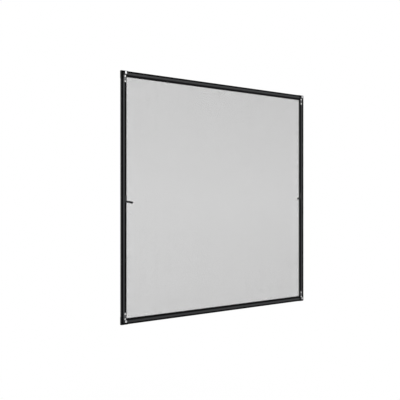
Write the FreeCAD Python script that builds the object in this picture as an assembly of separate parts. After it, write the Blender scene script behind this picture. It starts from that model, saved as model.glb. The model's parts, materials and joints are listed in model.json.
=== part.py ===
import FreeCAD, Part
import math
import os

from FreeCAD import Vector

# A hook-in insect screen for a window: four slim aluminium rails plugged together over moulded
# corner pieces, a mesh stretched between them, brush seals and four steel hooks on the window
# side, and two soft pull tabs.
# Millimetres. X runs across the window and Z up. The window side faces -Y, and Y = 0 is the
# raised face of the rails. The origin is the centre of the top rail's raised face.

# Outline
frame_width = 1200.0
frame_height = 1200.0

# Rail section, measured from the rail's outer edge (u) and back from its raised face (v)
rail_width = 28.0
rail_depth = 11.5
rail_wall = 1.3
brush_band = 9.0
spline_band = 10.0
band_recess = 1.6
edge_bevel = 0.45
back_pocket_height = 1.7

# Brush slot and the brush seal in it
slot_width = 6.2
slot_height = 1.3
slot_mouth = 3.6
slot_lip = 1.0
slot_clearance = 0.1
pile_width = 6.0
pile_proud = 2.0

# Spline groove and the rubber spline in it
groove_width = 4.6
groove_undercut = 0.4
groove_lip = 0.9
spline_clearance = 0.1
spline_foot_gap = 0.3
toe_bevel = 1.0
cap_thickness = 0.9
cap_margin = 0.15
cap_bevel = 0.3

# Mesh. A plain grid of openings stands for the weave and has its share of open area. The bars
# between the openings carry ribs for threads: warp on the window side, weft on the other.
mesh_thickness = 0.3
hem_depth = 4.6
thread_pitch = 1.5
thread_width = 0.28
grid_count = 9
ribs_per_bar = 2
rib_width = 1.2
rib_height = 0.3
rib_end_margin = 0.6

# Corner pieces: each arm reaches past the other arm's inner edge
corner_arm = 8.0
corner_proud = 1.0
corner_round = 1.8
prong_length = 38.0
prong_clearance = 0.15
prong_overlap = 2.0
prong_taper = 1.2
barb_count = 3
barb_pitch = 9.0
barb_width = 2.4
barb_depth = 0.6

# Hooks, along the side rails. The top pair is set further out than the bottom pair by the lift
# with which the screen is hung before it drops onto the bottom pair.
hook_width = 10.0
hook_thickness = 1.5
hook_reach = 10.2
hook_bend = 0.9
hook_end_round = 3.0
hook_leg_bevel = 1.5
hook_lift = 4.0
hook_slot_width = 4.2
hook_slot_spare = 0.8
hook_leg_end = 2.0
screw_past_corner = 6.6
screw_pitch = 24.0
top_flange = 13.0
bottom_flange = 10.5

# Screws
screw_radius = 1.3
screw_length = 8.4
screw_clearance = 0.05
head_radius = 4.0
head_gap = 0.1
head_height = 2.1
crown_radius = 2.4

# Pull tabs
tab_height = 36.0
tab_front = 1.6
tab_margin = 0.25
tab_round = 1.5
left_tab_below_centre = 6.0
right_tab_above_centre = 13.0
peg_radius = 1.5
peg_length = 5.0
peg_spacing = 20.0
peg_clearance = 0.05
tongue_height = 9.7
tongue_thickness = 2.4
tongue_root = 3.0
tongue_inward = 30.2
tongue_forward = 8.9
tongue_droop = 5.0
tongue_tip_bulge = 2.6
tongue_end_round = 0.4

# Where the section's features start and end
chamber_start = brush_band + rail_wall
chamber_end = rail_width - spline_band - rail_wall
groove_end = rail_width - rail_wall
groove_start = groove_end - groove_width
groove_floor = rail_depth - 2 * rail_wall - back_pocket_height
slot_floor = band_recess + slot_lip + slot_height
screw_line = (chamber_end + groove_start) / 2
corner_reach = rail_width + corner_arm
mesh_front = band_recess - mesh_thickness
hem_line = groove_end - mesh_thickness
cap_front = mesh_front - cap_thickness

# Where the hooks' screws, arms and slots lie, in from the frame's top or bottom edge. The outer
# screw stands past the line that the corner's other web runs on. The bottom arm clears the screw
# head beside its bend, and a slot's middle lies half the lift to one side of its screw.
screw_outer = screw_line + screw_past_corner
bottom_arm = screw_outer - head_radius - head_gap - hook_bend - hook_thickness
top_arm = bottom_arm - hook_lift
slot_half = (hook_slot_width + hook_lift + hook_slot_spare) / 2
peg_line = (rail_width - spline_band + groove_start) / 2

# The frame's middle, from the origin on the top rail's raised face
seat_inset = (brush_band + rail_width - spline_band) / 2
centre_z = seat_inset - frame_height / 2
outer_x = frame_width / 2

# The mesh between the rails, as far as its openings and ribs are laid out
mesh_field_x = frame_width - 2 * (rail_width + rib_end_margin)
mesh_field_z = frame_height - 2 * (rail_width + rib_end_margin)

Y_AXIS = Vector(0, 1, 0)
FRAME_CENTRE = Vector(0, 0, centre_z)

# Each side is built as the bottom one and turned about Y: its turn, its length and the span to
# the side opposite. Corners turn the same way from the bottom left one.
SIDES = {
    "bottom": (0, frame_width, frame_height),
    "left": (90, frame_height, frame_width),
    "top": (180, frame_width, frame_height),
    "right": (270, frame_height, frame_width),
}
CORNERS = {
    "bottom_left": (0, -1, -1),
    "top_left": (90, -1, 1),
    "top_right": (180, 1, 1),
    "bottom_right": (270, 1, -1),
}


def box(low, high):
    """A box between two corners."""
    size = Vector(*high) - Vector(*low)
    return Part.makeBox(size.x, size.y, size.z, Vector(*low))


def bevelled(points):
    """An outline whose corners are cut off straight where a point has a third number."""
    cut = []
    for i, (a, b, *bevel) in enumerate(points):
        if not bevel:
            cut.append((a, b))
            continue
        corner = Vector(a, b, 0)
        for other in (points[i - 1], points[(i + 1) % len(points)]):
            end = corner + (Vector(other[0], other[1], 0) - corner).normalize() * bevel[0]
            cut.append((end.x, end.y))
    return cut


def rounded_face(points, radii, to_space):
    """A flat face from an outline whose corners are rounded where radii gives one."""
    corners = [Vector(a, b, 0) for a, b in points]
    count = len(corners)
    edges = []
    ends = []
    for i, corner in enumerate(corners):
        radius = radii.get(i, 0.0)
        before = (corners[i - 1] - corner).normalize()
        after = (corners[(i + 1) % count] - corner).normalize()
        if radius == 0.0:
            ends.append((corner, None, corner))
            continue
        half_turn = before.getAngle(after) / 2
        setback = radius / math.tan(half_turn)
        middle = (before + after).normalize() * (radius / math.sin(half_turn) - radius)
        ends.append((corner + before * setback, corner + middle, corner + after * setback))
    for i, (first, middle, last) in enumerate(ends):
        if middle is not None:
            arc = [to_space(p.x, p.y) for p in (first, middle, last)]
            edges.append(Part.Arc(*arc).toShape())
        following = ends[(i + 1) % count][0]
        edges.append(Part.makeLine(to_space(last.x, last.y), to_space(following.x, following.y)))
    return Part.Face(Part.Wire(edges))


def section_point(u, v):
    """A point of a rail's section: u in from the outer edge and v back from the raised face."""
    return Vector(0, v, u)


def outer_section(outer_edge):
    """The rail's outline: brush slot, raised middle, spline groove and flat back."""
    slot_middle = brush_band / 2
    points = [
        (outer_edge, band_recess, edge_bevel),
        (slot_middle - slot_mouth / 2, band_recess),
        (slot_middle - slot_mouth / 2, band_recess + slot_lip),
        (slot_middle - slot_width / 2, band_recess + slot_lip),
        (slot_middle - slot_width / 2, slot_floor),
        (slot_middle + slot_width / 2, slot_floor),
        (slot_middle + slot_width / 2, band_recess + slot_lip),
        (slot_middle + slot_mouth / 2, band_recess + slot_lip),
        (slot_middle + slot_mouth / 2, band_recess),
        (brush_band, band_recess),
        (brush_band, 0, edge_bevel),
        (rail_width - spline_band, 0, edge_bevel),
        (rail_width - spline_band, band_recess),
        (groove_start + groove_undercut, band_recess),
        (groove_start + groove_undercut, band_recess + groove_lip),
        (groove_start, band_recess + groove_lip + groove_undercut),
        (groove_start, groove_floor),
        (groove_end, groove_floor),
        (groove_end, band_recess),
        (rail_width, band_recess, edge_bevel),
        (rail_width, rail_depth, edge_bevel),
        (outer_edge, rail_depth, edge_bevel),
    ]
    return rounded_face(bevelled(points), {}, section_point)


def along(face, start, end):
    """A section carried along +X between two distances."""
    solid = face.extrude(Vector(end - start, 0, 0))
    solid.translate(Vector(start, 0, 0))
    return solid


def on_side(solid, side):
    """Puts a piece built from the left end of the bottom edge on its side of the frame."""
    turn, length, span = SIDES[side]
    solid.translate(Vector(-length / 2, 0, -span / 2))
    solid.rotate(Vector(0, 0, 0), Y_AXIS, turn)
    solid.translate(FRAME_CENTRE)
    return solid


def mitred(face, side):
    """A section carried the whole length of a side and mitred where it meets its neighbours."""
    length = SIDES[side][1]
    bounds = face.BoundBox
    run = along(face, bounds.ZMin, length - bounds.ZMin)
    outline = [
        Vector(bounds.ZMin, bounds.YMin, bounds.ZMin),
        Vector(length - bounds.ZMin, bounds.YMin, bounds.ZMin),
        Vector(length - bounds.ZMax, bounds.YMin, bounds.ZMax),
        Vector(bounds.ZMax, bounds.YMin, bounds.ZMax),
    ]
    keep = Part.Face(Part.makePolygon(outline + outline[:1]))
    keep = keep.extrude(Vector(0, bounds.YLength, 0))
    return on_side(run.common(keep), side)


# Aluminium rails
def rail(side):
    """One extruded rail between two corner pieces, with its three hollow chambers."""
    length = SIDES[side][1]
    start = corner_reach
    end = length - corner_reach
    back_inside = rail_depth - rail_wall
    solid = along(outer_section(0.0), start, end)
    hollows = [
        ((start, rail_wall, chamber_start), (end, back_inside, chamber_end)),
        ((start, slot_floor + rail_wall, rail_wall), (end, back_inside, brush_band)),
        ((start, groove_floor + rail_wall, chamber_end + rail_wall), (end, back_inside, groove_end)),
    ]
    for low, high in hollows:
        solid = solid.cut(box(low, high))
    return on_side(solid, side)


# Moulded corner pieces
def corner_half():
    """The part of a corner piece that carries the bottom rail's section up to the mitre."""
    solid = along(outer_section(-corner_proud), -corner_proud, corner_reach)
    outline = [
        Vector(-corner_proud, 0, -corner_proud),
        Vector(corner_reach, 0, -corner_proud),
        Vector(corner_reach, 0, rail_width),
        Vector(rail_width, 0, rail_width),
    ]
    keep = Part.Face(Part.makePolygon(outline + outline[:1]))
    return solid.common(keep.extrude(Vector(0, rail_depth, 0)))


def prong():
    """The barbed prong that fills the bottom rail's middle chamber."""
    low_u = chamber_start + prong_clearance
    high_u = chamber_end - prong_clearance
    low_v = rail_wall + prong_clearance
    high_v = rail_depth - rail_wall - prong_clearance
    tip = corner_reach + prong_length
    outline = [
        (corner_reach - prong_overlap, low_u),
        (tip - prong_taper, low_u),
        (tip, low_u + prong_taper),
        (tip, high_u - prong_taper),
        (tip - prong_taper, high_u),
        (corner_reach - prong_overlap, high_u),
    ]
    face = rounded_face(outline, {}, lambda s, u: Vector(s, low_v, u))
    solid = face.extrude(Vector(0, high_v - low_v, 0))
    for i in range(barb_count):
        start = tip - 2 * prong_taper - barb_width - i * barb_pitch
        for low, high in ((low_u, low_u + barb_depth), (high_u - barb_depth, high_u)):
            solid = solid.cut(box((start, low_v, low), (start + barb_width, high_v, high)))
    return solid


def corner_piece(corner):
    """A corner piece: the rails' bands carried round the corner, and a prong into each rail."""
    turn, side_x, side_z = CORNERS[corner]
    half = corner_half().fuse(prong())
    diagonal = Vector(1, 0, -1).normalize()
    solid = half.fuse(half.mirror(Vector(0, 0, 0), diagonal)).removeSplitter()
    far = corner_reach + prong_length + corner_proud
    outline = [
        (-corner_proud, -corner_proud),
        (far, -corner_proud),
        (far, far),
        (-corner_proud, far),
    ]
    limit = rounded_face(outline, {0: corner_round}, lambda s, u: Vector(s, 0, u))
    solid = solid.common(limit.extrude(Vector(0, rail_depth, 0)))
    solid.rotate(Vector(0, 0, 0), Y_AXIS, turn)
    solid.translate(Vector(side_x * outer_x, 0, centre_z + side_z * frame_height / 2))
    return solid


# Hooks and their screws
def from_end(side_z, distance):
    """The height at a distance in from the frame's top edge (side_z 1) or bottom edge (-1)."""
    return centre_z + side_z * (frame_height / 2 - distance)


def hook_middle_x(side_x):
    """The hooks stand on the thick web between the middle chamber and the spline groove."""
    return side_x * (outer_x - screw_line)


def hook(corner):
    """A Z-shaped steel hook: slotted leg on the rail, arm towards the window, flange outwards.

    The flange's end is rounded, and the leg's end has its corners cut off straight.
    """
    _, side_x, side_z = CORNERS[corner]
    is_top = side_z > 0
    arm, flange = (top_arm, top_flange) if is_top else (bottom_arm, bottom_flange)
    slot_shift = -hook_lift / 2 if is_top else hook_lift / 2
    slots = [distance + slot_shift for distance in (screw_outer, screw_outer + screw_pitch)]
    left_x = hook_middle_x(side_x) - hook_width / 2
    leg_end = slots[1] + slot_half + hook_leg_end
    flange_end = arm + hook_thickness - flange
    outline = [
        (leg_end, 0),
        (arm, 0),
        (arm, hook_thickness - hook_reach),
        (flange_end, hook_thickness - hook_reach),
        (flange_end, -hook_reach),
        (arm + hook_thickness, -hook_reach),
        (arm + hook_thickness, -hook_thickness),
        (leg_end, -hook_thickness),
    ]
    inner = hook_bend
    outer = hook_bend + hook_thickness
    bends = {1: outer, 2: inner, 5: outer, 6: inner}
    strip = rounded_face(outline, bends, lambda d, v: Vector(left_x, v, from_end(side_z, d)))
    solid = strip.extrude(Vector(hook_width, 0, 0))
    right_x = left_x + hook_width
    ends = [(left_x, flange_end), (right_x, flange_end)]
    ends += [(right_x, leg_end, hook_leg_bevel), (left_x, leg_end, hook_leg_bevel)]
    radii = {0: hook_end_round, 1: hook_end_round}
    front = rounded_face(
        bevelled(ends), radii, lambda x, d: Vector(x, -hook_reach, from_end(side_z, d))
    )
    solid = solid.common(front.extrude(Vector(0, hook_reach, 0)))
    for distance in slots:
        solid = solid.cut(hook_slot(side_x, from_end(side_z, distance)))
    return solid


def hook_slot(side_x, z):
    """A slot along the leg, in which the hook is set up or down on its screw."""
    x = hook_middle_x(side_x)
    radius = hook_slot_width / 2
    half = slot_half - radius
    slot = box((x - radius, -hook_thickness, z - half), (x + radius, 0, z + half))
    for end in (z - half, z + half):
        slot = slot.fuse(
            Part.makeCylinder(radius, hook_thickness, Vector(x, -hook_thickness, end), Y_AXIS)
        )
    return slot


def screw_places(corner):
    """The two screw points of a hook, on the rail's raised face."""
    _, side_x, side_z = CORNERS[corner]
    distances = (screw_outer, screw_outer + screw_pitch)
    return [Vector(hook_middle_x(side_x), 0, from_end(side_z, d)) for d in distances]


def screw(place):
    """A raised-head screw through the hook's leg into the rail or the corner piece."""
    seat = -hook_thickness
    top = seat - head_height
    tip = seat + screw_length
    profile = [
        Vector(0, tip, 0),
        Vector(screw_radius, tip, 0),
        Vector(screw_radius, seat, 0),
        Vector(head_radius, seat, 0),
        Vector(crown_radius, top, 0),
        Vector(0, top, 0),
    ]
    face = Part.Face(Part.makePolygon(profile + profile[:1]))
    solid = face.revolve(Vector(0, 0, 0), Y_AXIS, 360)
    solid.translate(place)
    return solid


def drilled(solid, places, radius, depth):
    """Blind holes from the window side at each place."""
    for place in places:
        solid = solid.cut(Part.makeCylinder(radius, depth, place, Y_AXIS))
    return solid


# Pull tabs
def tab_bottom(side_x):
    """The height of a pull tab's lower end: the two tabs aren't set quite level."""
    if side_x < 0:
        return centre_z - left_tab_below_centre - tab_height / 2
    return centre_z + right_tab_above_centre - tab_height / 2


def peg_places(side_x):
    """The two points where a pull tab's pegs go into the rail."""
    middle = tab_bottom(side_x) + tab_height / 2
    x = side_x * (outer_x - peg_line)
    return [Vector(x, 0, middle + half * peg_spacing / 2) for half in (-1, 1)]


def tongue_outline(length, drop, half, tip_bulge, to_space):
    """A curved strip's face: it leaves straight, turns by an even arc, and has a round tip."""
    radius = (length**2 + drop**2) / (2 * drop)
    turn = 2 * math.atan(drop / length)

    def point(offset, angle):
        reach = radius + offset
        return to_space(reach * math.sin(angle), radius - reach * math.cos(angle))

    end = turn + tip_bulge / radius
    edges = [
        Part.Arc(point(-half, 0), point(-half, turn / 2), point(-half, turn)).toShape(),
        Part.Arc(point(-half, turn), point(0, end), point(half, turn)).toShape(),
        Part.Arc(point(half, turn), point(half, turn / 2), point(half, 0)).toShape(),
        Part.makeLine(point(half, 0), point(-half, 0)),
    ]
    return Part.Face(Part.Wire(edges))


def pull_tab(side_x):
    """A soft tab: a plate pegged over the spline, and a tongue curving in and forwards."""
    bottom = tab_bottom(side_x)
    near = outer_x - (rail_width - spline_band + tab_margin)
    far = outer_x - rail_width
    plate_outline = [(near, bottom), (far, bottom), (far, bottom + tab_height)]
    plate_outline.append((near, bottom + tab_height))
    plate = rounded_face(
        plate_outline,
        {i: tab_round for i in range(4)},
        lambda x, z: Vector(side_x * x, mesh_front, z),
    )
    solid = plate.extrude(Vector(0, -tab_front - mesh_front, 0))
    root_x = far + tongue_root
    root_v = -tab_front + tongue_thickness / 2
    length = tongue_inward + tongue_root
    low_z = bottom - tongue_droop - tongue_height
    high_z = bottom + 2 * tongue_height
    seen_from_above = tongue_outline(
        length,
        tongue_forward + root_v,
        tongue_thickness / 2,
        tongue_end_round,
        lambda a, b: Vector(side_x * (root_x - a), root_v - b, low_z),
    )
    seen_from_front = tongue_outline(
        length - tongue_tip_bulge,
        tongue_droop,
        tongue_height / 2,
        tongue_tip_bulge,
        lambda a, b: Vector(side_x * (root_x - a), mesh_front, bottom + tongue_height / 2 - b),
    )
    strip = seen_from_above.extrude(Vector(0, 0, high_z - low_z))
    band = seen_from_front.extrude(Vector(0, -2 * tongue_forward - mesh_front, 0))
    solid = solid.fuse(strip.common(band)).removeSplitter()
    for place in peg_places(side_x):
        peg = Part.makeCylinder(
            peg_radius, band_recess - mesh_front + peg_length, place + Y_AXIS * mesh_front, Y_AXIS
        )
        solid = solid.fuse(peg)
    return solid.removeSplitter()


# Rubber splines
def spline(side):
    """A rubber spline: a bulb held under the groove's lip, and a flat cap over the band."""
    left = groove_start + spline_clearance
    right = hem_line - spline_clearance
    neck = groove_start + groove_undercut + spline_clearance
    shoulder = band_recess + groove_lip + groove_undercut + spline_clearance
    foot = groove_floor - spline_foot_gap
    cap_left = rail_width - spline_band + cap_margin
    cap_right = rail_width - cap_margin
    points = [
        (cap_left, cap_front, cap_bevel),
        (cap_right, cap_front, cap_bevel),
        (cap_right, mesh_front),
        (right, mesh_front),
        (right, foot, toe_bevel),
        (left, foot, toe_bevel),
        (left, shoulder),
        (neck, shoulder - groove_undercut),
        (neck, mesh_front),
        (cap_left, mesh_front),
    ]
    solid = mitred(rounded_face(bevelled(points), {}, section_point), side)
    if side in ("left", "right"):
        side_x = -1 if side == "left" else 1
        half = screw_radius + spline_clearance
        for corner, (_, corner_x, _) in CORNERS.items():
            if corner_x == side_x:
                for place in screw_places(corner):
                    solid = notched(solid, side_x, screw_line + half, place.z - half, place.z + half)
        low_z = tab_bottom(side_x) - tab_margin
        solid = notched(solid, side_x, rail_width, low_z, low_z + tab_height + 2 * tab_margin)
    return solid


def notched(solid, side_x, reach, low_z, high_z):
    """Takes a spline's cap away between two heights, from its outer edge in to a distance."""
    ends = sorted((side_x * (outer_x - rail_width + spline_band), side_x * (outer_x - reach)))
    return solid.cut(box((ends[0], cap_front, low_z), (ends[1], mesh_front, high_z)))


# Brush seals
def brush(side):
    """A brush seal: a flat backing held in the slot, and pile that fans out past the rail."""
    middle = brush_band / 2
    backing = slot_width / 2 - slot_clearance
    neck = slot_mouth / 2 - slot_clearance
    lip_back = band_recess + slot_lip + slot_clearance
    points = [
        (middle - neck, lip_back),
        (middle - neck, band_recess),
        (middle - pile_width / 2, -pile_proud),
        (middle + pile_width / 2, -pile_proud),
        (middle + neck, band_recess),
        (middle + neck, lip_back),
        (middle + backing, lip_back),
        (middle + backing, slot_floor),
        (middle - backing, slot_floor),
        (middle - backing, lip_back),
    ]
    return mitred(rounded_face(points, {}, section_point), side)


# Mesh
def openings(length):
    """Both edges of each opening in a row of them that fills a length about its middle."""
    pitch = length / grid_count
    half = pitch * (1 - thread_width / thread_pitch) / 2
    middles = [(i + 0.5) * pitch - length / 2 for i in range(grid_count)]
    return [(middle - half, middle + half) for middle in middles]


def rib_positions(length):
    """The ribs' middles across a length: several on each bar, and one on each border."""
    gaps = openings(length)
    border = (gaps[0][0] - length / 2) / 2
    positions = [border]
    for (_, left), (right, _) in zip(gaps, gaps[1:]):
        step = (right - left) / ribs_per_bar
        positions += [left + (i + 0.5) * step for i in range(ribs_per_bar)]
    return positions + [-border]


def ribs(length, across, crest, root, to_space, run):
    """The ribs on one face of the mesh, as one ribbed layer over its middle plane."""
    half = length / 2
    points = [(-half, root)]
    for middle in rib_positions(length):
        for side, v in ((-1, root), (-1, crest), (1, crest), (1, root)):
            points.append((middle + side * rib_width / 2, v))
    deep = mesh_front + mesh_thickness / 2
    points += [(half, root), (half, deep), (-half, deep)]
    face = rounded_face(points, {}, lambda a, v: to_space(a, v, -across / 2))
    return face.extrude(run * across)


def insect_mesh():
    """The mesh: a stretched sheet with its edges turned down into the spline grooves."""
    half_x = outer_x - hem_line
    half_z = frame_height / 2 - hem_line
    inside_x = half_x - mesh_thickness
    inside_z = half_z - mesh_thickness
    hem_back = mesh_front + hem_depth
    solid = box((-half_x, mesh_front, centre_z - half_z), (half_x, hem_back, centre_z + half_z))
    solid = solid.cut(
        box((-inside_x, band_recess, centre_z - inside_z), (inside_x, hem_back, centre_z + inside_z))
    )
    warp = ribs(
        mesh_field_x,
        mesh_field_z,
        mesh_front - rib_height,
        mesh_front,
        lambda a, v, start: Vector(a, v, centre_z + start),
        Vector(0, 0, 1),
    )
    weft = ribs(
        mesh_field_z,
        mesh_field_x,
        band_recess + rib_height,
        band_recess,
        lambda a, v, start: Vector(start, v, centre_z + a),
        Vector(1, 0, 0),
    )
    solid = solid.fuse([warp, weft]).removeSplitter()
    gaps = []
    for left, right in openings(mesh_field_x):
        for low, high in openings(mesh_field_z):
            gaps.append(
                box(
                    (left, mesh_front - rib_height, centre_z + low),
                    (right, band_recess + rib_height, centre_z + high),
                )
            )
    return solid.cut(gaps)


def export(name, shape):
    """Writes one named piece and reports it."""
    solids = shape.Solids
    whole = solids[0] if len(solids) == 1 else Part.makeCompound(solids)
    whole.exportStep(f"parts/{name}.step")
    print(f"{name}: {len(solids)} solid(s), {whole.Volume / 1000:.2f} cm3, valid {whole.isValid()}")


def main():
    os.makedirs("parts", exist_ok=True)
    screw_hole = screw_radius + screw_clearance
    peg_hole = peg_radius + peg_clearance
    drill_depth = screw_length - hook_thickness + screw_clearance
    hook_screws = {corner: screw_places(corner) for corner in CORNERS}
    for side in SIDES:
        solid = rail(side)
        if side in ("left", "right"):
            side_x = -1 if side == "left" else 1
            for corner, places in hook_screws.items():
                if CORNERS[corner][1] == side_x:
                    solid = drilled(solid, places, screw_hole, drill_depth)
            pegs = [place + Y_AXIS * band_recess for place in peg_places(side_x)]
            solid = drilled(solid, pegs, peg_hole, peg_length + peg_clearance)
        export(f"rail_{side}", solid)
        export(f"spline_{side}", spline(side))
        export(f"brush_seal_{side}", brush(side))
    for corner, places in hook_screws.items():
        export(f"corner_{corner}", drilled(corner_piece(corner), places, screw_hole, drill_depth))
        export(f"hook_{corner}", hook(corner))
    every_place = [place for places in hook_screws.values() for place in places]
    export("hook_screws", Part.makeCompound([screw(place) for place in every_place]))
    export("insect_mesh", insect_mesh())
    export("pull_tab_left", pull_tab(-1))
    export("pull_tab_right", pull_tab(1))


main()
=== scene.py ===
"""The looks of a hook-in window insect screen: its finishes, its fine pieces and the studio.

Everything is in metres. X runs across the window, Z up, and the window side faces -Y.
"""

import json
import logging
import math
import random
from collections.abc import Callable
from dataclasses import dataclass
from enum import Enum

import bpy
from mathutils import Matrix, Vector

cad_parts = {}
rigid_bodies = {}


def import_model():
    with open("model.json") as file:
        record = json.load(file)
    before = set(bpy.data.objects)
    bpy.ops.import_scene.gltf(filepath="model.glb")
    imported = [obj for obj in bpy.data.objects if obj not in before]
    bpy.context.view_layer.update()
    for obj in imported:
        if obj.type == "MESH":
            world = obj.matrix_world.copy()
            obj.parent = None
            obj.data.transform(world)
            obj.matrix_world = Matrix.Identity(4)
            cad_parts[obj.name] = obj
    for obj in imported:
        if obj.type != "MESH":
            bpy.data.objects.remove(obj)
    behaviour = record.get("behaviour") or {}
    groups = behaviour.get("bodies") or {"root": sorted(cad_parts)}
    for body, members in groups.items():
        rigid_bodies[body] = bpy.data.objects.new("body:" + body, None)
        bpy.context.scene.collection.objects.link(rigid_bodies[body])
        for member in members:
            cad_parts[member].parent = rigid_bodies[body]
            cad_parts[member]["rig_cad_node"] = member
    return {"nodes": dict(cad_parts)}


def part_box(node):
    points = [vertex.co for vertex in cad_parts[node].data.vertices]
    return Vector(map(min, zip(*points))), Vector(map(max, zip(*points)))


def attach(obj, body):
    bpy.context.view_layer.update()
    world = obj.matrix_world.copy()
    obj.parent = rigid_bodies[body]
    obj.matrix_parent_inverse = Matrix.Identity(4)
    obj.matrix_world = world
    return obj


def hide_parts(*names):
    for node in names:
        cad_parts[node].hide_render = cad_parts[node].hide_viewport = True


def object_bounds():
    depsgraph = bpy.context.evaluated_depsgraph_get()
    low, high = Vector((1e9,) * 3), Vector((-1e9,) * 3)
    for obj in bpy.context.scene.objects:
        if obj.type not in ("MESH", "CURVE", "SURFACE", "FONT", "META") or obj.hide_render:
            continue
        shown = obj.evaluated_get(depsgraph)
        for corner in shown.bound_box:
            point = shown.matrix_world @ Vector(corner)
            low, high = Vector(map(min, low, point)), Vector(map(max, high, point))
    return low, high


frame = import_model()
CAD_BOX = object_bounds()

MM = 0.001
FACING = 0.5  # the least share of its normal that a face has along the way it looks
log = logging.getLogger("insect_screen")

Colour = tuple[float, float, float]
Range = tuple[float, float]


class Side(Enum):
    """The frame's four sides, each with its turn about Y from the bottom one, in degrees."""

    BOTTOM = ("bottom", 0)
    LEFT = ("left", 90)
    TOP = ("top", 180)
    RIGHT = ("right", 270)

    @property
    def label(self) -> str:
        """The side's word in the names of its pieces."""
        return self.value[0]

    @property
    def turn(self) -> float:
        """The side's turn about Y, in radians."""
        return math.radians(self.value[1])

    @property
    def upright(self) -> bool:
        """Whether the side runs along Z."""
        return self in (Side.LEFT, Side.RIGHT)


class Corner(Enum):
    """The frame's four corners, each with its direction along Z from the frame's middle."""

    BOTTOM_LEFT = ("bottom_left", -1)
    TOP_LEFT = ("top_left", 1)
    TOP_RIGHT = ("top_right", 1)
    BOTTOM_RIGHT = ("bottom_right", -1)

    @property
    def label(self) -> str:
        """The corner's words in the names of its pieces."""
        return self.value[0]

    @property
    def up(self) -> int:
        """1 at the top and -1 at the bottom."""
        return self.value[1]


def looks_forwards(normal: Vector) -> bool:
    """Says of a face whether it looks to the window side."""
    return normal.y < -FACING


def looks_back(normal: Vector) -> bool:
    """Says of a face whether it looks to the room side."""
    return normal.y > FACING


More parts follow.
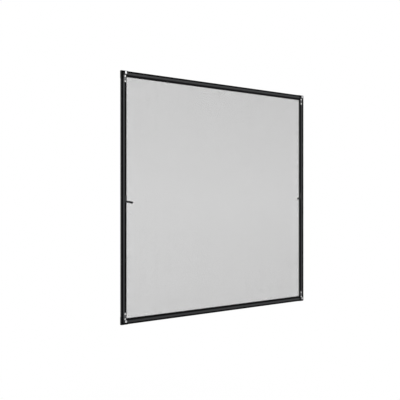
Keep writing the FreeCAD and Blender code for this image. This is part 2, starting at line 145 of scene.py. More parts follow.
class Bench:
    """The modelling moves that all the sub-assemblies share."""

    @staticmethod
    def take_up(piece: bpy.types.Object) -> None:
        """Makes one piece the only one selected, and the active one.

        Args:
            piece: The piece to work on.
        """
        bpy.ops.object.select_all(action="DESELECT")
        piece.select_set(True)
        bpy.context.view_layer.objects.active = piece

    @staticmethod
    def settle(name: str) -> bpy.types.Object:
        """Names the primitive that was just added and puts its place into its mesh.

        Args:
            name: The piece's name.

        Returns:
            The piece, with its object at the origin.
        """
        piece = bpy.context.object
        piece.name = name
        piece.data.name = name
        bpy.ops.object.transform_apply(location=True, rotation=True, scale=True)
        return piece

    @staticmethod
    def block(name: str, low: Vector, high: Vector) -> bpy.types.Object:
        """Adds a block.

        Args:
            name: The piece's name.
            low: Its lowest corner.
            high: Its highest corner.

        Returns:
            The block, with its object at the origin.
        """
        bpy.ops.object.select_all(action="DESELECT")
        bpy.ops.mesh.primitive_cube_add(size=1.0, location=(low + high) / 2, scale=high - low)
        return Bench.settle(name)

    @staticmethod
    def drum(name: str, front: Vector, radius: float, depth: float, sides: int) -> bpy.types.Object:
        """Adds a round bar that runs back along Y.

        Args:
            name: The piece's name.
            front: The middle of its front end.
            radius: Its radius.
            depth: Its length.
            sides: How many facets go round it.

        Returns:
            The bar, with its object at the origin.
        """
        bpy.ops.object.select_all(action="DESELECT")
        middle = front + Vector((0, depth / 2, 0))
        lying = (math.pi / 2, 0, 0)
        bpy.ops.mesh.primitive_cylinder_add(
            vertices=sides, radius=radius, depth=depth, location=middle, rotation=lying
        )
        return Bench.settle(name)

    @staticmethod
    def pick(piece: bpy.types.Object, wanted: Callable[[Vector, Vector], bool]) -> None:
        """Opens a piece in edit mode with some of its faces selected.

        Args:
            piece: The piece to open.
            wanted: Says of a face, from its middle and its normal, whether it is selected.
        """
        Bench.take_up(piece)
        bpy.ops.object.mode_set(mode="EDIT")
        bpy.ops.mesh.select_mode(type="FACE")
        bpy.ops.mesh.select_all(action="DESELECT")
        bpy.ops.object.mode_set(mode="OBJECT")
        for face in piece.data.polygons:
            face.select = wanted(face.center, face.normal)
        bpy.ops.object.mode_set(mode="EDIT")

    @staticmethod
    def put_down() -> None:
        """Closes edit mode."""
        bpy.ops.object.mode_set(mode="OBJECT")

    @staticmethod
    def push(step: Vector) -> None:
        """Extrudes the selected faces by a step."""
        bpy.ops.mesh.extrude_region_move(TRANSFORM_OT_translate={"value": step})

    @staticmethod
    def swell(share: float, about: Vector) -> None:
        """Resizes what is selected by a share about a point."""
        bpy.ops.transform.resize(value=(share, share, share), center_override=about)

    @staticmethod
    def slice(piece: bpy.types.Object, point: Vector, normal: Vector, drop: bool = False) -> None:
        """Cuts a piece across a plane.

        Args:
            piece: The piece to cut.
            point: A point of the plane.
            normal: The plane's normal.
            drop: Whether what lies beyond the plane goes, with the cut closed.
        """
        Bench.take_up(piece)
        bpy.ops.object.mode_set(mode="EDIT")
        bpy.ops.mesh.select_all(action="SELECT")
        bpy.ops.mesh.bisect(plane_co=point, plane_no=normal, clear_outer=drop, use_fill=drop)
        Bench.put_down()

    @staticmethod
    def finish_with(piece: bpy.types.Object, kind: str, **settings: object) -> None:
        """Adds a modifier to a piece and applies it.

        Args:
            piece: The piece.
            kind: The modifier's type.
            **settings: The modifier's settings by name.
        """
        modifier = piece.modifiers.new(kind.title(), kind)
        for name, value in settings.items():
            setattr(modifier, name, value)
        Bench.take_up(piece)
        bpy.ops.object.modifier_apply(modifier=modifier.name)

    @staticmethod
    def repeat(piece: bpy.types.Object, step: Vector, count: int) -> None:
        """Sets copies of a piece in a row, within its own mesh.

        Args:
            piece: The piece.
            step: How far each copy lies from the one before.
            count: How many there are, with the piece itself.
        """
        Bench.finish_with(
            piece,
            "ARRAY",
            count=count,
            use_relative_offset=False,
            use_constant_offset=True,
            constant_offset_displace=step,
        )

    @staticmethod
    def join(pieces: list[bpy.types.Object], name: str) -> bpy.types.Object:
        """Makes several pieces one.

        Args:
            pieces: The pieces, of which the first keeps its object.
            name: The name of the joined piece.

        Returns:
            The joined piece.
        """
        bpy.ops.object.select_all(action="DESELECT")
        for piece in pieces:
            piece.select_set(True)
        bpy.context.view_layer.objects.active = pieces[0]
        bpy.ops.object.join()
        pieces[0].name = name
        pieces[0].data.name = name
        return pieces[0]

    @staticmethod
    def copy_of(piece: bpy.types.Object, name: str, place: Matrix) -> bpy.types.Object:
        """Copies a piece with a mesh of its own.

        Args:
            piece: The piece to copy, whose object is at the origin.
            name: The copy's name.
            place: Where the copy's mesh goes from the piece's.

        Returns:
            The copy, with its object at the origin.
        """
        mesh = piece.data.copy()
        mesh.name = name
        mesh.transform(place)
        copy = bpy.data.objects.new(name, mesh)
        bpy.context.scene.collection.objects.link(copy)
        return copy

    @staticmethod
    def discard(piece: bpy.types.Object) -> None:
        """Removes a pattern piece once its copies are made."""
        bpy.data.objects.remove(piece)

    @staticmethod
    def smooth(piece: bpy.types.Object, angle: float) -> None:
        """Shades a piece smooth apart from edges sharper than an angle in degrees."""
        Bench.take_up(piece)
        bpy.ops.object.shade_smooth_by_angle(angle=math.radians(angle))


def on_side(side: Side, length: float, middle: Vector) -> Matrix:
    """Where a piece goes that is built along +X from the lower left corner of a square frame.

    Args:
        side: The side of the frame.
        length: The frame's length and height.
        middle: The frame's middle.

    Returns:
        The matrix that puts the piece on its side.
    """
    start = Matrix.Translation((-length / 2, 0, -length / 2))
    return Matrix.Translation(middle) @ Matrix.Rotation(side.turn, 4, "Y") @ start


class Recipe:
    """A procedural material in the making, with a plain shader and the piece's own coordinates."""

    WAVE_RATE = 20.0  # how many radians a wave texture of scale 1 goes through in a length of 1

    def __init__(self, name: str, colour: Colour, specular: float, metallic: float = 0.0) -> None:
        """Starts a material.

        Args:
            name: The material's name.
            colour: Its linear base colour.
            specular: The level of its specular reflection.
            metallic: 1 for bare metal, and otherwise 0.
        """
        self.material = bpy.data.materials.new(name)
        self.material.use_nodes = True
        self.material.diffuse_color = (*colour, 1.0)
        self.nodes = self.material.node_tree.nodes
        self.links = self.material.node_tree.links
        self.shader = self.nodes["Principled BSDF"]
        self.shader.inputs["Base Color"].default_value = (*colour, 1.0)
        self.shader.inputs["Specular IOR Level"].default_value = specular
        self.shader.inputs["Metallic"].default_value = metallic
        self.place = self.nodes.new("ShaderNodeTexCoord").outputs["Object"]

    def stretched(self, along_x: float, along_y: float, along_z: float) -> bpy.types.NodeSocket:
        """The piece's coordinates, drawn out along each axis by a factor.

        Args:
            along_x: How far a pattern is drawn out along X.
            along_y: How far along Y.
            along_z: How far along Z.

        Returns:
            The socket of the coordinates.
        """
        mapping = self.nodes.new("ShaderNodeMapping")
        mapping.inputs["Scale"].default_value = (1 / along_x, 1 / along_y, 1 / along_z)
        self.links.new(self.place, mapping.inputs["Vector"])
        return mapping.outputs["Vector"]

    def grain(
        self, size: float, detail: float = 2.0, place: bpy.types.NodeSocket | None = None
    ) -> bpy.types.NodeSocket:
        """A noise pattern.

        Args:
            size: The size of its spots, in metres.
            detail: How many finer octaves it has.
            place: The coordinates it is laid on, or None for the piece's own.

        Returns:
            The socket of its value.
        """
        noise = self.nodes.new("ShaderNodeTexNoise")
        noise.inputs["Scale"].default_value = 1 / size
        noise.inputs["Detail"].default_value = detail
        self.links.new(place or self.place, noise.inputs["Vector"])
        return noise.outputs["Fac"]

    def lines(self, axis: str, pitch: float) -> bpy.types.NodeSocket:
        """Parallel lines that follow each other along an axis.

        Args:
            axis: X, Y or Z.
            pitch: The distance from one line to the next, in metres.

        Returns:
            The socket of their height.
        """
        wave = self.nodes.new("ShaderNodeTexWave")
        wave.bands_direction = axis
        wave.inputs["Scale"].default_value = math.tau / (self.WAVE_RATE * pitch)
        self.links.new(self.place, wave.inputs["Vector"])
        return wave.outputs["Fac"]

    def forwards(self, start: float, end: float) -> bpy.types.NodeSocket:
        """A smooth step from the back of a piece to its window side.

        Args:
            start: Where along Y the step starts from 0.
            end: Where along Y it reaches 1.

        Returns:
            The socket of its value.
        """
        parts = self.nodes.new("ShaderNodeSeparateXYZ")
        self.links.new(self.place, parts.inputs["Vector"])
        step = self.nodes.new("ShaderNodeMapRange")
        step.interpolation_type = "SMOOTHSTEP"
        step.inputs["From Min"].default_value = start
        step.inputs["From Max"].default_value = end
        self.links.new(parts.outputs["Y"], step.inputs["Value"])
        return step.outputs["Result"]

    def colour_by(self, share: bpy.types.NodeSocket, first: Colour, second: Colour) -> None:
        """Lets a pattern set the base colour.

        Args:
            share: The socket of the pattern, between 0 and 1.
            first: The colour at 0.
            second: The colour at 1.
        """
        mix = self.nodes.new("ShaderNodeMix")
        mix.data_type = "RGBA"
        sockets = [s for s in mix.inputs if s.type == "RGBA"]
        sockets[0].default_value = (*first, 1.0)
        sockets[1].default_value = (*second, 1.0)
        self.links.new(share, mix.inputs["Factor"])
        mixed = next(s for s in mix.outputs if s.type == "RGBA")
        self.links.new(mixed, self.shader.inputs["Base Color"])

    def shades_by(self, share: bpy.types.NodeSocket, colour: Colour, shades: Range) -> None:
        """Lets a pattern make a colour lighter and darker by shares of it."""
        first, second = (tuple(part * shade for part in colour) for shade in shades)
        self.colour_by(share, first, second)

    def roughness_by(self, share: bpy.types.NodeSocket, limits: Range) -> None:
        """Lets a pattern set the roughness.

        Args:
            share: The socket of the pattern, between 0 and 1.
            limits: The roughness at 0 and at 1.
        """
        spread = self.nodes.new("ShaderNodeMapRange")
        spread.inputs["To Min"].default_value = limits[0]
        spread.inputs["To Max"].default_value = limits[1]
        self.links.new(share, spread.inputs["Value"])
        self.links.new(spread.outputs["Result"], self.shader.inputs["Roughness"])

    def relief_by(self, *layers: tuple[bpy.types.NodeSocket, float]) -> None:
        """Lets patterns raise the surface.

        Args:
            *layers: The socket of each pattern's height, and that height in metres.
        """
        normal = None
        for height, distance in layers:
            bump = self.nodes.new("ShaderNodeBump")
            bump.inputs["Distance"].default_value = distance
            self.links.new(height, bump.inputs["Height"])
            if normal is not None:
                self.links.new(normal, bump.inputs["Normal"])
            normal = bump.outputs["Normal"]
        self.links.new(normal, self.shader.inputs["Normal"])


@dataclass(frozen=True)
class PowderCoat:
    """Anthracite powder coat: a fine even pebble with a soft sheen."""

    slot: str = "rail_coating"
    colour: Colour = (0.0365, 0.0375, 0.0395)
    shades: Range = (0.93, 1.07)
    specular: float = 0.28
    roughness: Range = (0.42, 0.54)
    pebble: float = 0.5 * MM
    pebble_detail: float = 3.0
    pebble_height: float = 0.012 * MM
    cloud: float = 60 * MM

    def material(self) -> bpy.types.Material:
        """Makes the finish.

        Returns:
            Its material.
        """
        recipe = Recipe("anthracite_powder_coat", self.colour, self.specular)
        pebble = recipe.grain(self.pebble, self.pebble_detail)
        recipe.shades_by(recipe.grain(self.cloud), self.colour, self.shades)
        recipe.roughness_by(pebble, self.roughness)
        recipe.relief_by((pebble, self.pebble_height))
        return recipe.material


@dataclass(frozen=True)
class MouldedPlastic:
    """Black moulded plastic with the fine texture of an eroded mould."""

    slot: str = "corner_plastic"
    colour: Colour = (0.0175, 0.018, 0.019)
    shades: Range = (0.88, 1.12)
    specular: float = 0.3
    roughness: Range = (0.52, 0.68)
    texture: float = 0.28 * MM
    texture_detail: float = 4.0
    texture_height: float = 0.014 * MM
    flow: float = 22 * MM

    def material(self) -> bpy.types.Material:
        """Makes the finish.

        Returns:
            Its material.
        """
        recipe = Recipe("moulded_corner_plastic", self.colour, self.specular)
        texture = recipe.grain(self.texture, self.texture_detail)
        recipe.shades_by(recipe.grain(self.flow), self.colour, self.shades)
        recipe.roughness_by(texture, self.roughness)
        recipe.relief_by((texture, self.texture_height))
        return recipe.material


@dataclass(frozen=True)
class SplineRubber:
    """Near-black extruded rubber with faint lines along its run."""

    upright: bool
    slot: str = "spline_rubber"
    colour: Colour = (0.0034, 0.0036, 0.0042)
    shades: Range = (0.8, 1.3)
    specular: float = 0.06
    roughness: Range = (0.5, 0.62)
    line_pitch: float = 0.9 * MM
    line_height: float = 0.04 * MM
    skin: float = 0.3 * MM
    skin_height: float = 0.006 * MM
    bloom: float = 35 * MM
    bloom_detail: float = 3.0

    def material(self) -> bpy.types.Material:
        """Makes the finish.

        Returns:
            Its material.
        """
        name = "spline_rubber_upright" if self.upright else "spline_rubber_level"
        recipe = Recipe(name, self.colour, self.specular)
        lines = recipe.lines("X" if self.upright else "Z", self.line_pitch)
        bloom = recipe.grain(self.bloom, self.bloom_detail)
        recipe.shades_by(bloom, self.colour, self.shades)
        recipe.roughness_by(bloom, self.roughness)
        recipe.relief_by((lines, self.line_height), (recipe.grain(self.skin), self.skin_height))
        return recipe.material


@dataclass(frozen=True)
class BrushPile:
    """Black polypropylene fibres, each tuft a little lighter or darker than the next."""

    slot: str = "brush_pile"
    colour: Colour = (0.0045, 0.0047, 0.0052)
    shades: Range = (0.6, 1.5)
    specular: float = 0.05
    roughness: Range = (0.62, 0.85)
    tuft: float = 1.3 * MM
    tuft_detail: float = 1.0
    fibre: float = 0.12 * MM
    fibre_height: float = 0.05 * MM
    fibre_stretch: float = 14.0

    def material(self) -> bpy.types.Material:
        """Makes the finish.

        Returns:
            Its material.
        """
        recipe = Recipe("brush_pile_fibre", self.colour, self.specular)
        fibres = recipe.grain(self.fibre, place=recipe.stretched(1.0, self.fibre_stretch, 1.0))
        tufts = recipe.grain(self.tuft, self.tuft_detail)
        recipe.shades_by(tufts, self.colour, self.shades)
        recipe.roughness_by(fibres, self.roughness)
        recipe.relief_by((fibres, self.fibre_height))
        return recipe.material


@dataclass(frozen=True)
class BrushedSteel:
    """Stainless strip, brushed along its length, with painted shade that darkens the leg against
    the bright flange.
    """

    slot: str = "hook_steel"
    # The leg's colour is painted shade: the flange's steel made darker.
    leg: Colour = (0.115, 0.115, 0.119)
    flange: Colour = (0.50, 0.50, 0.51)
    leg_ends: float = -4 * MM
    flange_starts: float = -8.5 * MM
    specular: float = 0.5
    roughness: Range = (0.28, 0.42)
    scratch: float = 0.16 * MM
    scratch_detail: float = 3.0
    scratch_stretch: float = 60.0
    scratch_height: float = 0.004 * MM

    def material(self) -> bpy.types.Material:
        """Makes the finish.

        Returns:
            Its material.
        """
        recipe = Recipe("brushed_stainless_strip", self.flange, self.specular, metallic=1.0)
        brushed = recipe.stretched(1.0, 1.0, self.scratch_stretch)
        scratches = recipe.grain(self.scratch, self.scratch_detail, brushed)
        # Painted shade: the darker leg colour fades into the flange colour along Y.
        recipe.colour_by(recipe.forwards(self.leg_ends, self.flange_starts), self.leg, self.flange)
        recipe.roughness_by(scratches, self.roughness)
        recipe.relief_by((scratches, self.scratch_height))
        return recipe.material


@dataclass(frozen=True)
class PlatedSteel:
    """Bright zinc plating on the screws."""

    slot: str = "screw_steel"
    colour: Colour = (0.70, 0.70, 0.69)
    shades: Range = (0.9, 1.08)
    specular: float = 0.5
    roughness: Range = (0.18, 0.32)
    spangle: float = 0.7 * MM
    spangle_detail: float = 3.0
    spangle_height: float = 0.006 * MM

    def material(self) -> bpy.types.Material:
        """Makes the finish.

        Returns:
            Its material.
        """
        recipe = Recipe("bright_zinc_plate", self.colour, self.specular, metallic=1.0)
        spangle = recipe.grain(self.spangle, self.spangle_detail)
        recipe.shades_by(spangle, self.colour, self.shades)
        recipe.roughness_by(spangle, self.roughness)
        recipe.relief_by((spangle, self.spangle_height))
        return recipe.material


@dataclass(frozen=True)
class CoatedYarn:
    """Glass yarn in a dark coating, with the yarn's twist showing through."""

    slot: str = "mesh_yarn"
    colour: Colour = (0.013, 0.0133, 0.0138)
    shades: Range = (0.9, 1.1)
    specular: float = 0.22
    roughness: Range = (0.48, 0.62)
    twist: float = 0.22 * MM
    twist_detail: float = 1.0
    twist_height: float = 0.02 * MM
    dye: float = 90 * MM

    def material(self) -> bpy.types.Material:
        """Makes the finish.

        Returns:
            Its material.
        """
        recipe = Recipe("coated_glass_yarn", self.colour, self.specular)
        twist = recipe.grain(self.twist, self.twist_detail)
        recipe.shades_by(recipe.grain(self.dye), self.colour, self.shades)
        recipe.roughness_by(twist, self.roughness)
        recipe.relief_by((twist, self.twist_height))
        return recipe.material


@dataclass(frozen=True)
class SoftPlastic:
    """Soft black plastic with a satin skin, whose tongue is a little lighter towards the window
    side.
    """

    slot: str = "tab_plastic"
    colour: Colour = (0.009, 0.0093, 0.0101)
    shades: Range = (1.0, 1.25)
    rubbed_from: float = -3 * MM
    rubbed_to: float = -8 * MM
    specular: float = 0.28
    roughness: Range = (0.44, 0.56)
    skin: float = 0.35 * MM
    skin_detail: float = 3.0
    skin_height: float = 0.01 * MM

    def material(self) -> bpy.types.Material:
        """Makes the finish.

        Returns:
            Its material.
        """
        recipe = Recipe("soft_tab_plastic", self.colour, self.specular)
        skin = recipe.grain(self.skin, self.skin_detail)
        # The colour steps a little lighter along Y towards the window side.
        lighter_share = recipe.forwards(self.rubbed_from, self.rubbed_to)
        recipe.shades_by(lighter_share, self.colour, self.shades)
        recipe.roughness_by(skin, self.roughness)
        recipe.relief_by((skin, self.skin_height))
        return recipe.material


def dress(piece: bpy.types.Object, material: bpy.types.Material) -> None:
    """Gives a piece one finish all over.

    Args:
        piece: A new piece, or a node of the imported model.
        material: The finish's material.
    """
    piece.data.materials.clear()
    piece.data.materials.append(material)


def shown(piece: bpy.types.Object, *nodes: str) -> None:
    """Sets a finished piece on the frame, in the place of the nodes that it stands for.

    Args:
        piece: The piece.
        *nodes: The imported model's nodes.
    """
    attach(piece, "root")
    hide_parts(*nodes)
    log.info("%s: %d faces", piece.name, len(piece.data.polygons))


@dataclass(frozen=True)
class Softening:
    """How the sharp edges of a pressed or moulded piece are rounded, with angles in degrees."""

    reach: float
    segments: int = 3
    sharp_from: float = 35.0
    flat_below: float = 1.0
    weld: float = 0.001 * MM

    def apply(self, node: str, name: str, material: bpy.types.Material, slot: str) -> None:
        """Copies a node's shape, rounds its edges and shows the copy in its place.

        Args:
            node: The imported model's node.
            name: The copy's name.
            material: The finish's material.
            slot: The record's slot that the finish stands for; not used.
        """
        piece = Bench.copy_of(frame["nodes"][node], name, Matrix.Identity(4))
        Bench.take_up(piece)
        bpy.ops.object.mode_set(mode="EDIT")
        bpy.ops.mesh.select_all(action="SELECT")
        bpy.ops.mesh.remove_doubles(threshold=self.weld)
        bpy.ops.mesh.dissolve_limited(angle_limit=math.radians(self.flat_below))
        Bench.put_down()
        Bench.finish_with(
            piece,
            "BEVEL",
            width=self.reach,
            segments=self.segments,
            limit_method="ANGLE",
            angle_limit=math.radians(self.sharp_from),
        )
        Bench.smooth(piece, self.sharp_from)
        dress(piece, material)
        shown(piece, node)


@dataclass
class Rails:
    """The four extruded rails and the four moulded corner pieces that plug them together."""

    coat: PowderCoat = PowderCoat()
    plastic: MouldedPlastic = MouldedPlastic()

    def dress(self) -> None:
        """Finishes the rails and corner pieces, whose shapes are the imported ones."""
        coating = self.coat.material()
        moulding = self.plastic.material()
        for side in Side:
            dress(frame["nodes"][f"rail_{side.label}"], coating)
            log.info("rail_%s: powder coated", side.label)
        for corner in Corner:
            dress(frame["nodes"][f"corner_{corner.label}"], moulding)
            log.info("corner_%s: moulded plastic", corner.label)


@dataclass
class Splines:
    """The four rubber splines that hold the mesh in its grooves."""

    level: SplineRubber = SplineRubber(upright=False)
    upright: SplineRubber = SplineRubber(upright=True)

    def dress(self) -> None:
        """Finishes the splines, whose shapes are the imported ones."""
        materials = {rubber.upright: rubber.material() for rubber in (self.level, self.upright)}
        for side in Side:
            node = frame["nodes"][f"spline_{side.label}"]
            dress(node, materials[side.upright])
            log.info("spline_%s: rubber", side.label)


@dataclass
class InsectMesh:
    """Mesh of coated yarn, stretched flat, with its edges turned down into the spline grooves.

    The warp runs up and down in flat yarn, and the weft across in deeper yarn that holds it.
    """

    pitch: float = 1.45 * MM
    width: float = 0.276 * MM
    warp_depth: float = 0.11 * MM
    weft_depth: float = 0.385 * MM
    warp_lead: float = 0.03 * MM  # how far the warp lies in front of the weft
    front: float = 1.25 * MM  # the weft's front along Y
    hem_thickness: float = 0.28 * MM
    hem_threads: int = 3
    hem_margin: float = 0.5  # what is left below the last hem thread, in steps between two
    finish: CoatedYarn = CoatedYarn()

    def yarn(
        self, length: float, span: float, front: float, depth: float, hem: float
    ) -> bpy.types.Object:
        """Makes all the yarns of one direction, upright about the origin.

        Args:
            length: How far a yarn reaches before it turns down.
            span: The width that the yarns fill, side by side.
            front: The yarns' place along Y on the window side.
            depth: Their depth along Y.
            hem: Where their turned-down ends stop along Y.

        Returns:
            The yarns as one piece.
        """
        count = int(span / self.pitch)
        left = -(count - 1) * self.pitch / 2
        low = Vector((left - self.width / 2, front, -length / 2))
        high = Vector((left + self.width / 2, front + depth, length / 2))
        piece = Bench.block("yarn", low, high)
        turn = length / 2 - self.hem_thickness
        for end in (-1, 1):
            Bench.slice(piece, Vector((0, 0, end * turn)), Vector((0, 0, end)))
        Bench.pick(piece, lambda middle, normal: looks_back(normal) and abs(middle.z) > turn)
        Bench.push(Vector((0, hem - front - depth, 0)))
        Bench.put_down()
        Bench.repeat(piece, Vector((self.pitch, 0, 0)), count)
        return piece

    def hem_yarn(self, length: float, edge: float, hem: float) -> bpy.types.Object:
        """Makes the yarns that run along one turned-down edge, the right one about the origin.

        Args:
            length: How far they run.
            edge: The distance from the middle to the mesh's edge.
            hem: Where the hem stops along Y.

        Returns:
            The yarns as one piece.
        """
        step = (hem - self.front) / (self.hem_threads + self.hem_margin)
        near = self.front + step - self.width / 2
        low = Vector((edge - self.hem_thickness, near, -length / 2))
        high = Vector((edge, near + self.width, length / 2))
        piece = Bench.block("hem_yarn", low, high)
        Bench.repeat(piece, Vector((0, step, 0)), self.hem_threads)
        return piece

    def build(self) -> None:
        """Makes and finishes the mesh in the place of its plain solid."""
        low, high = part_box("insect_mesh")
        across, tall = high.x - low.x, high.z - low.z
        middle = Vector(((low.x + high.x) / 2, 0, (low.z + high.z) / 2))
        quarter = Matrix.Rotation(math.pi / 2, 4, "Y")
        place = Matrix.Translation(middle)
        warp = self.yarn(tall, across, self.front - self.warp_lead, self.warp_depth, high.y)
        warp.data.transform(place)
        weft = self.yarn(across, tall, self.front, self.weft_depth, high.y)
        weft.data.transform(place @ quarter)
        parts = [warp, weft]
        for side in Side:
            run, span = (tall, across) if side.upright else (across, tall)
            hem = self.hem_yarn(run - 2 * self.hem_thickness, span / 2, high.y)
            hem.data.transform(place @ quarter @ Matrix.Rotation(side.turn, 4, "Y"))
            parts.append(hem)
        piece = Bench.join(parts, "mesh_of_coated_yarn")
        dress(piece, self.finish.material())
        shown(piece, "insect_mesh")


@dataclass
class BrushSeals:
    """The four brush seals: a backing strip held in its slot, and rows of tufts that fan out."""

    middle_in: float = 4.5 * MM  # from the frame's outer edge to the middle of the brush
    rows: int = 6
    tuft_pitch: float = 1.0 * MM
    tufts_made: int = 10  # how many differ, before a row repeats them
    root_span: float = 2.6 * MM  # from the first row to the last, at the roots
    tip_span: float = 4.9 * MM
    root_size: float = 0.42 * MM
    tip_size: float = 0.78 * MM
    backing_half: float = 3.0 * MM
    neck_half: float = 1.65 * MM
    backing_front: float = 2.75 * MM
    neck_front: float = 1.7 * MM
    backing_back: float = 3.85 * MM
    uneven_tip: float = 0.22 * MM
    uneven_tip_limit: float = 3.0  # times the unevenness
    uneven_lean: float = 0.16 * MM
    seed: int = 7
    finish: BrushPile = BrushPile()

    def tuft(self, root: Vector, tip: Vector) -> bpy.types.Object:
        """Makes one tuft, thin where the strip holds it and blunt at its tip.

        Args:
            root: The middle of its root.
            tip: The middle of its tip, on the window side.

        Returns:
            The tuft.
        """
        half = self.root_size / 2
        low = Vector((root.x - half, tip.y, root.z - half))
        high = Vector((root.x + half, root.y, root.z + half))
        piece = Bench.block("tuft", low, high)
        end = Vector((root.x, tip.y, root.z))
        Bench.pick(piece, lambda middle, normal: looks_forwards(normal))
        Bench.swell(self.tip_size / self.root_size, end)
        bpy.ops.transform.translate(value=tip - end)
        Bench.put_down()
        return piece

    def row(
        self, index: int, length: float, tip_y: float, chance: random.Random
    ) -> bpy.types.Object:
        """Makes one row of tufts, as long as the mitred corners leave it.

        Args:
            index: The row, counted from the outer edge.
            length: The frame's length.
            tip_y: Where the tips end along Y.
            chance: The source of the tufts' unevenness.

        Returns:
            The row as one piece.
        """
        share = index / (self.rows - 1) - 0.5
        root_z = self.middle_in + share * self.root_span
        tip_z = self.middle_in + share * self.tip_span
        run = length - 2 * tip_z
        repeats = round(run / (self.tuft_pitch * self.tufts_made))
        pitch = run / (repeats * self.tufts_made)
        tufts = []
        for i in range(self.tufts_made):
            x = tip_z + (i + 0.5) * pitch
            lean = Vector((chance.gauss(0, self.uneven_lean), 0, chance.gauss(0, self.uneven_lean)))
            short = abs(chance.gauss(0, self.uneven_tip))
            short = min(short, self.uneven_tip_limit * self.uneven_tip)
            tip = Vector((x, tip_y + short, tip_z)) + lean
            tufts.append(self.tuft(Vector((x, self.backing_front, root_z)), tip))
        piece = Bench.join(tufts, "tuft_row")
        Bench.repeat(piece, Vector((pitch * self.tufts_made, 0, 0)), repeats)
        return piece

    def backing(self, length: float) -> bpy.types.Object:
        """Makes the backing strip with its neck, mitred at both ends.

        Args:
            length: The frame's length.

        Returns:
            The strip.
        """
        start = self.middle_in - self.backing_half
        low = Vector((start, self.backing_front, start))
        high = Vector((length - start, self.backing_back, start + 2 * self.backing_half))
        piece = Bench.block("backing", low, high)
        near, far = self.middle_in - self.neck_half, self.middle_in + self.neck_half
        for cut in (near, far):
            Bench.slice(piece, Vector((0, 0, cut)), Vector((0, 0, 1)))
        Bench.pick(piece, lambda middle, normal: looks_forwards(normal) and near < middle.z < far)
        Bench.push(Vector((0, self.neck_front - self.backing_front, 0)))
        Bench.put_down()
        Bench.slice(piece, Vector((0, 0, 0)), Vector((-1, 0, 1)), drop=True)
        Bench.slice(piece, Vector((length, 0, 0)), Vector((1, 0, 1)), drop=True)
        return piece

    def build(self) -> None:
        """Makes and finishes the four seals in the place of their plain solids."""
        low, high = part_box("brush_seal_bottom")
        inset = self.middle_in - self.backing_half
        length = high.x - low.x + 2 * inset
        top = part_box("brush_seal_top")[1].z + inset
        middle = Vector((0, 0, top - length / 2))
        chance = random.Random(self.seed)
        parts = [self.row(i, length, low.y, chance) for i in range(self.rows)]
        pattern = Bench.join([self.backing(length), *parts], "brush_seal_pattern")
        material = self.finish.material()
        for side in Side:
            name = f"brush_seal_{side.label}"
            piece = Bench.copy_of(pattern, f"{name}_tufted", on_side(side, length, middle))
            dress(piece, material)
            shown(piece, name)
        Bench.discard(pattern)


@dataclass(frozen=True)
class CrossScrew:
    """A low domed screw with a cross recess and a threaded shank."""

    head_radius: float = 4.0 * MM
    head_rim: float = 0.75 * MM
    head_height: float = 2.1 * MM
    head_sides: int = 40
    dome_steps: int = 6
    shank_radius: float = 1.05 * MM
    thread_radius: float = 1.3 * MM
    thread_pitch: float = 0.7 * MM
    thread_turns: int = 11
    recess_span: float = 3.9 * MM
    recess_width: float = 0.85 * MM
    recess_depth: float = 1.5 * MM
    recess_clearance: float = 0.2 * MM
    recess_taper: float = 0.5  # the recess's width at its bottom, as a share of the top's
    smooth_below: float = 30.0  # degrees

    def recess_tool(self) -> bpy.types.Object:
        """Makes the tool that cuts the cross recess, its wings narrowing downwards.

        Returns:
            The tool.
        """
        top = -self.head_height - self.recess_clearance
        bottom = -self.head_height + self.recess_depth
        span, width = self.recess_span / 2, self.recess_width / 2
        wings = []
        for half_x, half_z in ((span, width), (width, span)):
            low = Vector((-half_x, top, -half_z))
            wing = Bench.block("wing", low, Vector((half_x, bottom, half_z)))
            Bench.pick(wing, lambda middle, normal: looks_back(normal))
            Bench.swell(self.recess_taper, Vector((0, bottom, 0)))
            Bench.put_down()
            wings.append(wing)
        Bench.finish_with(wings[0], "BOOLEAN", operation="UNION", object=wings[1], solver="EXACT")
        Bench.discard(wings[1])
        return wings[0]

    def raise_dome(self) -> None:
        """Raises the selected front of the head, step by step, to a flattened dome."""
        quarter = math.pi / 2
        steps = [quarter * i / (self.dome_steps + 1) for i in range(1, self.dome_steps + 1)]
        rise = (self.head_height - self.head_rim) / math.sin(steps[-1])
        reach, height = 1.0, self.head_rim
        for angle in steps:
            next_height = self.head_rim + rise * math.sin(angle)
            Bench.push(Vector((0, height - next_height, 0)))
            Bench.swell(math.cos(angle) / reach, Vector((0, -next_height, 0)))
            reach, height = math.cos(angle), next_height

    def draw_shank(self) -> None:
        """Draws the selected back of the head out to a threaded shank."""
        Bench.push(Vector((0, 0, 0)))
        Bench.swell(self.shank_radius / self.head_radius, Vector((0, 0, 0)))
        crest = self.thread_radius / self.shank_radius
        at = 0.0
        for _ in range(self.thread_turns):
            for share in (crest, 1 / crest):
                at += self.thread_pitch / 2
                Bench.push(Vector((0, self.thread_pitch / 2, 0)))
                Bench.swell(share, Vector((0, at, 0)))

    def make(self) -> bpy.types.Object:
        """Makes the screw at the origin, with its head's underside at Y = 0.

        Returns:
            The screw.
        """
        front = Vector((0, -self.head_rim, 0))
        piece = Bench.drum("screw", front, self.head_radius, self.head_rim, self.head_sides)
        Bench.pick(piece, lambda middle, normal: looks_forwards(normal))
        self.raise_dome()
        Bench.put_down()
        Bench.pick(piece, lambda middle, normal: looks_back(normal))
        self.draw_shank()
        Bench.put_down()
        tool = self.recess_tool()
        Bench.finish_with(piece, "BOOLEAN", operation="DIFFERENCE", object=tool, solver="EXACT")
        Bench.discard(tool)
        Bench.smooth(piece, self.smooth_below)
        return piece


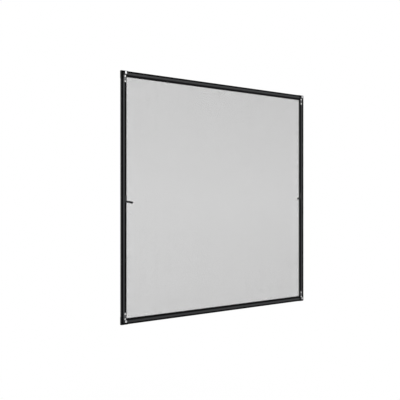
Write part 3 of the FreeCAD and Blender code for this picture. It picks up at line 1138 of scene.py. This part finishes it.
@dataclass
class HookSet:
    """The four steel hooks and the eight screws that hold them."""

    corner_proud: float = 1.0 * MM  # how far the corner pieces stand past the rails
    end_to_screw: float = 26.0 * MM  # from the rails' outer edge to the outer screw
    screw_pitch: float = 24.0 * MM
    seat: float = -1.5 * MM  # the front of the hook's leg along Y
    seed: int = 11
    softening: Softening = Softening(0.18 * MM)
    screw: CrossScrew = CrossScrew()
    steel: BrushedSteel = BrushedSteel()
    plate: PlatedSteel = PlatedSteel()

    def build(self) -> None:
        """Makes the hooks and their screws and finishes them."""
        steel = self.steel.material()
        plate = self.plate.material()
        pattern = self.screw.make()
        chance = random.Random(self.seed)
        for corner in Corner:
            name = f"hook_{corner.label}"
            self.softening.apply(name, f"{name}_pressed", steel, self.steel.slot)
            low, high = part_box(name)
            corner_low, corner_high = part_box(f"corner_{corner.label}")
            outermost = corner_high.z if corner.up > 0 else corner_low.z
            end = outermost - corner.up * self.corner_proud
            for i, place in enumerate(("outer", "inner")):
                z = end - corner.up * (self.end_to_screw + i * self.screw_pitch)
                spot = Matrix.Translation(((low.x + high.x) / 2, self.seat, z))
                turn = Matrix.Rotation(chance.uniform(0, math.pi / 2), 4, "Y")
                screw = Bench.copy_of(pattern, f"screw_{corner.label}_{place}", spot @ turn)
                dress(screw, plate)
                shown(screw, "hook_screws")
        Bench.discard(pattern)


@dataclass
class PullTabs:
    """The two soft pull tabs."""

    softening: Softening = Softening(0.4 * MM)
    finish: SoftPlastic = SoftPlastic()

    def build(self) -> None:
        """Makes and finishes the tabs."""
        material = self.finish.material()
        for label in ("left", "right"):
            node = f"pull_tab_{label}"
            self.softening.apply(node, f"{node}_soft", material, self.finish.slot)


@dataclass(frozen=True)
class Lamp:
    """A soft square lamp that faces the object's middle."""

    name: str
    offset: tuple[float, float, float]
    size: float
    power: float

    def hang(self, middle: Vector) -> None:
        """Hangs the lamp at its offset from the object's middle.

        Args:
            middle: The object's middle.
        """
        offset = Vector(self.offset)
        turn = (-offset).to_track_quat("-Z", "Y").to_euler()
        bpy.ops.object.light_add(type="AREA", location=middle + offset, rotation=turn)
        lamp = bpy.context.object
        lamp.name = self.name
        lamp.data.size = self.size
        lamp.data.energy = self.power


@dataclass
class Studio:
    """A white floor, soft light and the camera."""

    floor_drop: float = 0.75
    floor_size: float = 24.0
    floor_colour: float = 0.9
    floor_white: float = 0.94  # how much of the seen floor is plain white near the object
    floor_glow: float = 1.034  # the level of that white there, which makes up for the rest
    shadow_reach: float = 1.0
    shadow_fade: float = 1.0
    ambient: float = 0.24
    camera_place: Vector = Vector((-1.9542, -2.5282, -0.59743))
    camera_turn: float = -35.584
    lens: float = 54.40
    sensor: float = 36.0
    lamps: tuple[Lamp, ...] = (
        Lamp("key_lamp", offset=(0.8, -4.6, 2.6), size=5.0, power=110.0),
        Lamp("left_lamp", offset=(-4.6, -1.0, 1.2), size=4.0, power=6.0),
        Lamp("back_lamp", offset=(1.0, 4.6, 2.2), size=5.0, power=70.0),
    )

    def white_for_seen_rays(self, tree: bpy.types.NodeTree) -> bpy.types.NodeSocket:
        """Says whether a ray comes from the camera, a reflection or a glass.

        Args:
            tree: The node tree that the nodes go in.

        Returns:
            A socket that is 1 for such a ray, and otherwise 0.
        """
        path = tree.nodes.new("ShaderNodeLightPath")
        total = path.outputs["Is Camera Ray"]
        for name in ("Is Glossy Ray", "Is Transmission Ray"):
            either = tree.nodes.new("ShaderNodeMath")
            either.operation = "MAXIMUM"
            tree.links.new(total, either.inputs[0])
            tree.links.new(path.outputs[name], either.inputs[1])
            total = either.outputs["Value"]
        return total

    def fade(self, tree: bpy.types.NodeTree, near: float, far: float) -> bpy.types.NodeSocket:
        """Makes a value that changes from one number to another away from the object's shadow.

        Args:
            tree: The node tree that the nodes go in.
            near: The value on the floor round the object.
            far: The value on the rest of the floor.

        Returns:
            The socket of the value.
        """
        place = tree.nodes.new("ShaderNodeTexCoord")
        flat = tree.nodes.new("ShaderNodeVectorMath")
        flat.operation = "MULTIPLY"
        flat.inputs[1].default_value = (1.0, 1.0, 0.0)
        distance = tree.nodes.new("ShaderNodeVectorMath")
        distance.operation = "LENGTH"
        change = tree.nodes.new("ShaderNodeMapRange")
        change.interpolation_type = "SMOOTHSTEP"
        change.inputs["From Min"].default_value = self.shadow_reach
        change.inputs["From Max"].default_value = self.shadow_reach + self.shadow_fade
        change.inputs["To Min"].default_value = near
        change.inputs["To Max"].default_value = far
        tree.links.new(place.outputs["Object"], flat.inputs[0])
        tree.links.new(flat.outputs["Vector"], distance.inputs[0])
        tree.links.new(distance.outputs["Value"], change.inputs["Value"])
        return change.outputs["Result"]

    def floor(self) -> None:
        """Lays the floor below the frame, which hangs as it would in a window."""
        bpy.ops.object.select_all(action="DESELECT")
        height = CAD_BOX[0].z - self.floor_drop
        bpy.ops.mesh.primitive_plane_add(size=self.floor_size, location=(0, 0, height))
        floor = Bench.settle("studio_floor")
        material = bpy.data.materials.new("studio_floor_white")
        material.use_nodes = True
        tree = material.node_tree
        tree.nodes.clear()
        matt = tree.nodes.new("ShaderNodeBsdfDiffuse")
        matt.inputs["Color"].default_value = (self.floor_colour,) * 3 + (1.0,)
        glow = tree.nodes.new("ShaderNodeEmission")
        both = tree.nodes.new("ShaderNodeMixShader")
        share = tree.nodes.new("ShaderNodeMath")
        share.operation = "MULTIPLY"
        tree.links.new(self.white_for_seen_rays(tree), share.inputs[0])
        tree.links.new(self.fade(tree, self.floor_white, 1.0), share.inputs[1])
        tree.links.new(self.fade(tree, self.floor_glow, 1.0), glow.inputs["Strength"])
        tree.links.new(share.outputs["Value"], both.inputs["Fac"])
        tree.links.new(matt.outputs["BSDF"], both.inputs[1])
        tree.links.new(glow.outputs["Emission"], both.inputs[2])
        output = tree.nodes.new("ShaderNodeOutputMaterial")
        tree.links.new(both.outputs["Shader"], output.inputs["Surface"])
        floor.data.materials.append(material)

    def world(self) -> None:
        """Makes the surroundings white where they are seen, and dimmer as a light."""
        world = bpy.data.worlds.new("studio_world")
        world.use_nodes = True
        bpy.context.scene.world = world
        tree = world.node_tree
        strength = tree.nodes.new("ShaderNodeMapRange")
        strength.inputs["To Min"].default_value = self.ambient
        strength.inputs["To Max"].default_value = 1.0
        tree.links.new(self.white_for_seen_rays(tree), strength.inputs["Value"])
        background = tree.nodes["Background"]
        background.inputs["Color"].default_value = (1.0, 1.0, 1.0, 1.0)
        tree.links.new(strength.outputs["Result"], background.inputs["Strength"])

    def camera(self) -> None:
        """Sets the camera level, at the photograph's angle."""
        turn = (math.pi / 2, 0, math.radians(self.camera_turn))
        bpy.ops.object.camera_add(location=self.camera_place, rotation=turn)
        camera = bpy.context.object
        camera.name = "studio_camera"
        camera.data.sensor_width = self.sensor
        camera.data.lens = self.lens
        bpy.context.scene.camera = camera

    def build(self) -> None:
        """Sets up the floor, the light and the camera."""
        middle = (CAD_BOX[0] + CAD_BOX[1]) / 2
        self.floor()
        self.world()
        for lamp in self.lamps:
            lamp.hang(middle)
        self.camera()
        bpy.context.scene.view_settings.view_transform = "Standard"
        log.info("studio: floor, world, %d lamps and the camera", len(self.lamps))


def main() -> None:
    """Builds the sub-assemblies in order."""
    logging.basicConfig(level=logging.INFO, format="%(message)s")
    Rails().dress()
    Splines().dress()
    InsectMesh().build()
    BrushSeals().build()
    HookSet().build()
    PullTabs().build()
    Studio().build()


if __name__ == "__main__":
    main()
